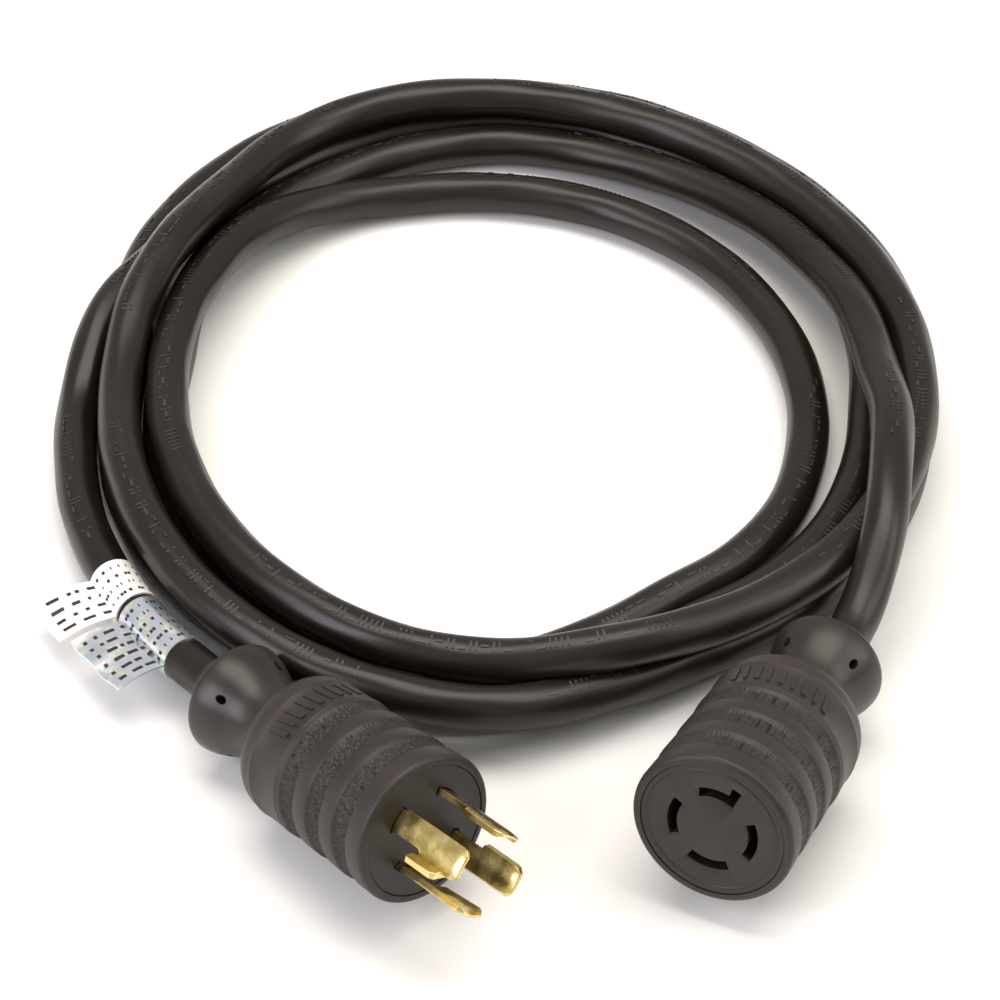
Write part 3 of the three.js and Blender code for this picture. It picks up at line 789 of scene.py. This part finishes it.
def printed_bars(name, sheets):
    """Rows of plain dark dashes on a label, in place of its words."""
    low, high = PRINT_SIDES
    points, faces = [], []
    for row in range(1, len(sheets) - 1, 2):
        here, following = sheets[row], sheets[row + 1]
        column = PRINT_COLUMNS[0]
        while column < PRINT_COLUMNS[1]:
            length = int(rng.integers(1, 4))
            end = column + length
            n = len(points)
            for lift in (-0.05, 0.06):
                for share, k in ((low, column), (high, column), (high, end), (low, end)):
                    at = here[k] * (1 - share) + following[k] * share
                    flat = here[k + 1] - here[k]
                    normal = np.cross(flat, following[k] - here[k])
                    normal /= np.linalg.norm(normal)
                    points.append(at - normal * lift)
            faces += [tuple(n + m for m in f) for f in BOX_FACES]
            column += length + int(rng.integers(1, 3))
    return add_mesh(f"{name}_print", points, faces, PRINT, smooth=False)


# ---- build ----
cord = cord_piece()
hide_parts("cord_coil", "cord_plug_lead", "cord_connector_lead")
legend = legend_piece()

riders = [legend]
for name, spec, material, slot in (
    ("certification_label_look", CERTIFICATION_LABEL, FOIL, "label_foil"),
    ("rating_label_look", RATING_LABEL, PAPER, "label_paper"),
):
    made = label_piece(name, spec, material)
    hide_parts(name.replace("_look", ""))
    riders += made

connector_pieces = []
for name, end, pebbled in (("plug", PLUG, True), ("connector", CONNECTOR, False)):
    body = body_piece(name, end, pebbled)
    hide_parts(f"{name}_body")
    bars = raised_bars(name, end)
    grip = grip_piece(name, end)
    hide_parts(f"{name}_cord_grip")
    if name == "connector":
        connector_pieces += [body, bars, grip]

blade_slots = []
for degrees in BLADES.values():
    section = blade_outline(degrees, BLADE_CIRCLE - 1.0, BLADE_CIRCLE + 1.0, -3.4, 2.6)
    blade_slots.append(closed_loft([at_height(section, z) for z in (-INSERT_DEPTH - 1, 1)]))
carrier = face_piece("plug_blade_carrier", PLUG, blade_slots)
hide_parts("plug_blade_carrier")
for kind, degrees in BLADES.items():
    blade_piece(kind, degrees)
    if kind == "ground":
        ground_leg(degrees)

slot_shapes = [slot_cutter(degrees, kind == "ground") for kind, degrees in SLOTS.items()]
face_line = CONNECTOR["radius"] - 3.6
connector_face = face_piece("connector_face", CONNECTOR, slot_shapes, line_radius=face_line)
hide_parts("connector_face")
connector_pieces.append(connector_face)

# the nodes that stay visible are the inner parts
for node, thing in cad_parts.items():
    if thing.hide_render:
        continue
    thing.data.materials.clear()
    if "_wire_" in node:
        thing.data.materials.append(WIRE_TONES[node.split("_wire_")[1]])
    elif "_contact_" in node and "housing" not in node:
        thing.data.materials.append(BRASS)
    elif "jacket" in node:
        thing.data.materials.append(JACKET)
    else:
        thing.data.materials.append(INNER_BLACK)
    if node.startswith("connector_"):
        connector_pieces.append(thing)


# ---- floor and light ----
bpy.ops.mesh.primitive_plane_add(size=8, location=(0, 0, -0.0005))
floor = bpy.context.object
floor.name = "floor"
floor.data.materials.append(
    shader("floor", (0.90, 0.90, 0.89), (0.92, 0.92, 0.91), 0.85, grain_depth=0, spread=0.02)
)


def soft_light(name, place, size, watts, tint):
    """A rectangular lamp that shines at the origin."""
    lamp = bpy.data.lights.new(name, "AREA")
    lamp.shape = "RECTANGLE"
    lamp.size, lamp.size_y = size
    lamp.energy = watts
    lamp.color = tint
    made = bpy.data.objects.new(name, lamp)
    made.location = place
    made.rotation_euler = (-Vector(place)).to_track_quat("-Z", "Y").to_euler()
    bpy.context.scene.collection.objects.link(made)


soft_light("overhead", (0.05, 0.16, 1.3), (1.4, 0.7), 16, (1.0, 0.93, 0.84))
soft_light("left", (-1.1, -0.6, 0.75), (0.6, 0.9), 11, (0.95, 0.91, 1.0))
soft_light("right", (1.1, -0.1, 0.7), (0.5, 0.9), 5, (1.0, 0.96, 0.9))

world = bpy.data.worlds.new("studio")
world.use_nodes = True
background = world.node_tree.nodes["Background"]
background.inputs["Color"].default_value = (1.0, 0.985, 0.96, 1)
background.inputs["Strength"].default_value = 0.55
bpy.context.scene.world = world
bpy.context.scene.view_settings.view_transform = "Standard"
